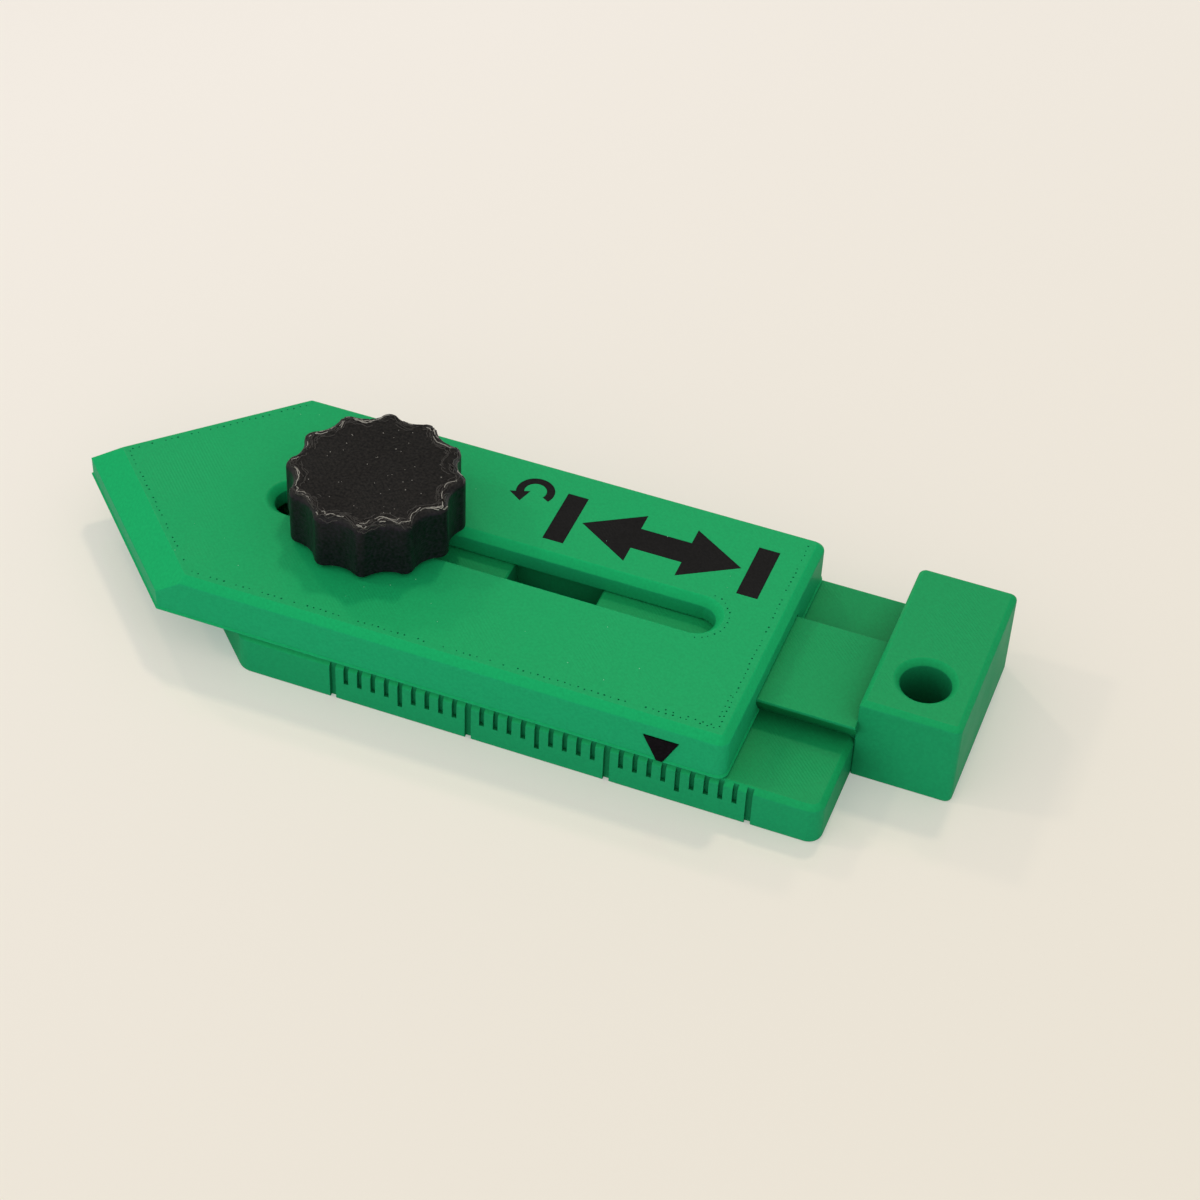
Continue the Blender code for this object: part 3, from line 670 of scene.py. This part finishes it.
combine(plate, sign_form(0.04 * MM, PLATE_TOP - SIGN_DEPTH, PLATE_TOP + OVERRUN), "DIFFERENCE")
finish_piece(plate, plate_plastic, "plate", ["top_plate"])
sign = solid("setting_sign", sign_form(0, PLATE_TOP - SIGN_DEPTH + 0.02 * MM, PLATE_TOP - 0.01 * MM))
finish_piece(sign, black_plastic, "plate")
pointer = solid("pointer_mark", pointer_form(0, 0, -HALF_WIDTH))
finish_piece(pointer, black_plastic, "plate", ["pointer_inlay"])

# %% [markdown]
# ## The clamp knob
# The knob is a black print with twelve narrow lobes and wide hollows between them. Its outline is one
# smooth line of arcs that touch, so it is drawn as points and extruded, and the top edge is chamfered by
# a bevel.

# %% Knob: body
KNOB_EDGE = 1 * MM            # rounding of its top edge
KNOB_FACE = KNOB_TOP - 0.06 * MM    # the level top, a little under the highest threads


def lobed(lobes=12, outer=12.5 * MM, lobe=1.4 * MM, flute=1.15 * MM, turn=0.248, steps=12):
    """Plan points of the knob: round lobes and hollow flutes, tangent where they meet."""
    half_pitch = math.pi / lobes
    lobe_centre, floor = outer - lobe, outer - flute
    across = 2 * lobe_centre * math.cos(half_pitch)
    hollow = (lobe_centre ** 2 + floor ** 2 - across * floor - lobe ** 2) / (across + 2 * lobe - 2 * floor)
    flute_centre = floor + hollow
    sweep = math.atan2(flute_centre * math.sin(half_pitch), flute_centre * math.cos(half_pitch) - lobe_centre)
    points = []
    for index in range(lobes):
        middle = turn + 2 * half_pitch * index
        for i in range(steps + 1):
            a = middle - sweep + 2 * sweep * i / steps
            points.append((lobe_centre * math.cos(middle) + lobe * math.cos(a),
                           lobe_centre * math.sin(middle) + lobe * math.sin(a)))
        valley, half = middle + half_pitch, sweep - half_pitch
        for i in range(1, steps):
            a = valley + math.pi + half - 2 * half * i / steps
            points.append((flute_centre * math.cos(valley) + hollow * math.cos(a),
                           flute_centre * math.sin(valley) + hollow * math.sin(a)))
    return points


def knob_body():
    """The lobed body with its chamfered top."""
    bm = raised(lobed(), KNOB_BOTTOM, KNOB_FACE)
    top = [e for e in bm.edges if all(abs(v.co.z - KNOB_FACE) < 0.01 * MM for v in e.verts)]
    bevel(bm, top, KNOB_EDGE, 4)
    foot = [e for e in bm.edges if all(abs(v.co.z - KNOB_BOTTOM) < 0.01 * MM for v in e.verts)]
    bevel(bm, foot, 0.4 * MM, 2)
    return bm


def knob_recesses():
    """The washer's recess, the nut's pocket and the blind bore, as one cutter each."""
    washer_top, nut_top, bore_top = KNOB_BOTTOM + 1 * MM, KNOB_BOTTOM + 5.6 * MM, KNOB_TOP - 2 * MM
    yield turned([(5.3 * MM, KNOB_BOTTOM - OVERRUN), (5.3 * MM, washer_top)], steps=64)
    yield raised(hexagon(8.6 * MM), KNOB_BOTTOM - OVERRUN, nut_top)
    yield turned([(2.8 * MM, KNOB_BOTTOM), (2.8 * MM, bore_top)], steps=64)


knob = solid("knob_print", knob_body())
for recess in knob_recesses():
    combine(knob, recess, "DIFFERENCE")
finish_piece(knob, knob_plastic, "knob", ["clamp_knob"], smooth=40)

# %% [markdown]
# ## Loose threads on the knob
# The real knob was printed a little too hot. Along its rounded top edge the outer lines came loose in
# thin threads, which catch the light. Each thread is a bevelled curve that wanders along the edge, lies
# on the rounding and is turned into a mesh. The pale threads are a painted highlight: their pale colour
# stands in for the light that they catch. A few fine specks lie on the knob's top and on the plate.

# %% Knob: threads and specks
def on_edge(point, inset, radius):
    """A place for a thread on the knob's rounded top edge, an inset in from a plan point."""
    plan = Vector(point) * (1 - inset / Vector(point).length)
    fall = 1 - math.sqrt(max(0, 1 - max(0, 1 - inset / KNOB_EDGE) ** 2))
    return Vector((*plan, min(KNOB_FACE - KNOB_EDGE * fall + radius / 2, KNOB_TOP - radius)))


def threads(name, count, radius, longest, widest, material):
    """A number of threads of one thickness, as one mesh that rides on the knob."""
    curve = bpy.data.curves.new(name, "CURVE")
    curve.dimensions, curve.bevel_depth, curve.bevel_resolution, curve.use_fill_caps = "3D", radius, 1, True
    ring = lobed(steps=20)
    for number in range(count):
        at, inset = random.randrange(len(ring)), random.uniform(0.05, widest) * KNOB_EDGE
        swing, pace = random.uniform(0, 0.3) * KNOB_EDGE, random.uniform(0.25, 0.6)
        steps = random.randrange(5, longest)
        spline = curve.splines.new("POLY")
        spline.points.add(steps - 1)
        for i, point in enumerate(spline.points):
            inset = max(inset + random.uniform(-0.07, 0.07) * KNOB_EDGE, 0)
            place = on_edge(ring[(at + i) % len(ring)], inset + swing * (1 + math.sin(i * pace)), radius)
            point.co = (*place, 1)
    loose = bpy.data.objects.new(name + "_curve", curve)
    bpy.context.scene.collection.objects.link(loose)
    mesh = bpy.data.meshes.new_from_object(loose.evaluated_get(bpy.context.evaluated_depsgraph_get()))
    bpy.data.objects.remove(loose)
    obj = bpy.data.objects.new(name, mesh)
    bpy.context.scene.collection.objects.link(obj)
    finish_piece(obj, material, "knob", smooth=60)


def specks(name, places, height, material, body):
    """Small grains that stand on a level face, each a low cone."""
    bm = bmesh.new()
    for x, y in places:
        size = random.uniform(0.05, 0.12) * MM
        at = Matrix.Translation((x, y, height)) @ Matrix.Rotation(random.uniform(0, 3), 4, "Z")
        bmesh.ops.create_cone(bm, cap_ends=True, segments=5, radius1=size, radius2=size / 2, depth=0.1 * MM,
                              matrix=at)
    finish_piece(solid(name, bm), material, body)


# painted highlight: the pale colour on the threads stands in for light caught on them; the knob's specks use
# the same pale colour as crumbs
painted_highlight_and_crumb = new_material("pale PLA for painted highlights and crumbs", "A39F95", 0.4, specular=0.4)[0]
dark_thread = new_material("loose PLA", "3A3733", 0.35, specular=0.4)[0]
threads("knob_threads_dark", 180, 0.07 * MM, 28, 2.0, dark_thread)
threads("knob_threads_painted_highlight", 44, 0.065 * MM, 22, 1.1, painted_highlight_and_crumb)
polar = [(random.uniform(0, math.tau), 10 * MM * math.sqrt(random.random())) for i in range(40)]
specks("knob_specks", [(r * math.cos(a), r * math.sin(a)) for a, r in polar], KNOB_FACE, painted_highlight_and_crumb, "knob")
pale_green = new_material("green PLA dust", "7FD0A4", 0.5, specular=0.2)[0]
dust = [(random.uniform(-25, 50) * MM, random.uniform(-17, -6) * MM) for i in range(16)]
dust += [(random.uniform(-20, 50) * MM, random.uniform(6, 18) * MM) for i in range(9)]
specks("plate_specks", dust, PLATE_TOP, pale_green, "plate")

# %% [markdown]
# ## Table, light and camera
# The gauge lies on a smooth cream table under ceiling lamps. A sky of even light gives the soft fill, and
# three suns with narrow beams throw the shadows that ceiling lamps throw, one towards the viewer and two
# to the right. The camera stands where the photographer stood: its place was worked out from the edges of
# the object.

# %% Table
floor_mesh = bmesh.new()
bmesh.ops.create_circle(floor_mesh, cap_ends=True, segments=64, radius=3)
table = solid("table", floor_mesh)
table_finish, tree, shader = new_material("cream lacquer", "E6E0D8", 0.08, ior=1.45, specular=0.5)
place = add(tree, "ShaderNodeTexCoord")
# painted light: for camera rays the table is one fifth glow, brighter and bluer towards the lamps, which
# paints a pool of light and lightens and cools the shadows; camera rays also see a warmer base colour
towards_lamps = add(tree, "ShaderNodeMapping", {"Rotation": (0, 0, math.radians(-143)),
                    "Location": (0.5, 0, 0), "Scale": (1 / (300 * MM),) * 3}, Vector=(place, "Object"))
along = add(tree, "ShaderNodeSeparateXYZ", Vector=(towards_lamps, 0))
painted_light_pool = add(tree, "ShaderNodeMix", {"data_type": "RGBA", 6: (0.98, 1.10, 1.06, 1), 7: (1.42, 1.53, 1.63, 1)},
           s0=(along, "X"))
painted_glow = add(tree, "ShaderNodeEmission", Color=(painted_light_pool, 2))
rays = add(tree, "ShaderNodeLightPath")
camera_ray_base_colour = add(tree, "ShaderNodeMix", {"data_type": "RGBA", 6: linear("E6E0D8"), 7: (0.916, 0.802, 0.660, 1)},
           s0=(rays, "Is Camera Ray"))
share = add(tree, "ShaderNodeMath", {"operation": "MULTIPLY", 1: 0.2}, s0=(rays, "Is Camera Ray"))
blend = add(tree, "ShaderNodeMixShader", s0=(share, 0), s1=(shader, 0), s2=(painted_glow, 0))
tree.links.new(camera_ray_base_colour.outputs[2], shader.inputs["Base Color"])
tree.links.new(blend.outputs[0], tree.nodes["Material Output"].inputs["Surface"])
table.data.materials.append(table_finish)

# %% Light
world = bpy.data.worlds.new("room")
bpy.context.scene.world = world
world.use_nodes = True
background = world.node_tree.nodes["Background"]
background.inputs["Color"].default_value = linear("FAFCFF")
direction = add(world.node_tree, "ShaderNodeTexCoord")
parts = add(world.node_tree, "ShaderNodeSeparateXYZ", Vector=(direction, "Generated"))
front = add(world.node_tree, "ShaderNodeMapRange", {1: -1, 2: 1, 3: 1.12, 4: 0.16}, s0=(parts, "Y"))
behind = add(world.node_tree, "ShaderNodeMapRange", {1: 0.5, 2: 0.8, 3: 0, 4: 0.9}, s0=(parts, "Y"))
low = add(world.node_tree, "ShaderNodeMapRange", {1: 0.2, 2: 0.4, 3: 1, 4: 0}, s0=(parts, "Z"))
wall = add(world.node_tree, "ShaderNodeMath", {"operation": "MULTIPLY_ADD"}, s0=(behind, 0), s1=(low, 0),
           s2=(front, 0))
world.node_tree.links.new(wall.outputs[0], background.inputs["Strength"])


def sun(name, azimuth, elevation, share, spread):
    """A sun from an azimuth, in degrees anticlockwise from +X, with its share of full daylight."""
    lamp = bpy.data.lights.new(name, "SUN")
    lamp.energy = share * math.pi / math.sin(math.radians(elevation))
    lamp.angle = math.radians(spread)
    lamp.color = linear("FFF4E4")[:3]
    obj = bpy.data.objects.new(name, lamp)
    a, e = math.radians(azimuth), math.radians(elevation)
    towards = Vector((math.cos(a) * math.cos(e), math.sin(a) * math.cos(e), math.sin(e)))
    obj.rotation_euler = towards.to_track_quat("Z", "Y").to_euler()
    bpy.context.scene.collection.objects.link(obj)


sun("lamp behind", 93, 61, 0.14, 6)
sun("lamp left", 191, 40, 0.05, 5)
sun("lamp left behind", 140, 38, 0.05, 5)

# %% Camera
AZIMUTH, ELEVATION, ROLL = (math.radians(a) for a in (19.4296, 43.1546, 2.6094))
DISTANCE, TARGET = 415.21 * MM, Vector((26.650 * MM + BOLT_X, 13.198 * MM, 0))
FOCAL_PIXELS, CENTRE_X, CENTRE_Y, SIDE = 2892.81, 585.83, 584.77, 1200
back = Vector((math.sin(AZIMUTH) * math.cos(ELEVATION), -math.cos(AZIMUTH) * math.cos(ELEVATION),
               math.sin(ELEVATION)))
right = Vector((math.cos(AZIMUTH), math.sin(AZIMUTH), 0))
up = back.cross(right)
level_right = math.cos(ROLL) * right + math.sin(ROLL) * up
level_up = math.cos(ROLL) * up - math.sin(ROLL) * right
camera = bpy.data.objects.new("camera", bpy.data.cameras.new("camera"))
camera.data.sensor_width = 36
camera.data.lens = 36 * FOCAL_PIXELS / SIDE
camera.data.shift_x = (SIDE / 2 - CENTRE_X) / SIDE
camera.data.shift_y = (CENTRE_Y - SIDE / 2) / SIDE
camera.data.clip_start, camera.data.clip_end = 0.01, 20
turn = Matrix((level_right, level_up, back)).transposed().to_4x4()
camera.matrix_world = Matrix.Translation(TARGET + back * DISTANCE) @ turn
bpy.context.scene.collection.objects.link(camera)
bpy.context.scene.camera = camera
bpy.context.scene.view_settings.view_transform = "Standard"
print("camera at", [round(v / MM, 1) for v in camera.location], "mm")
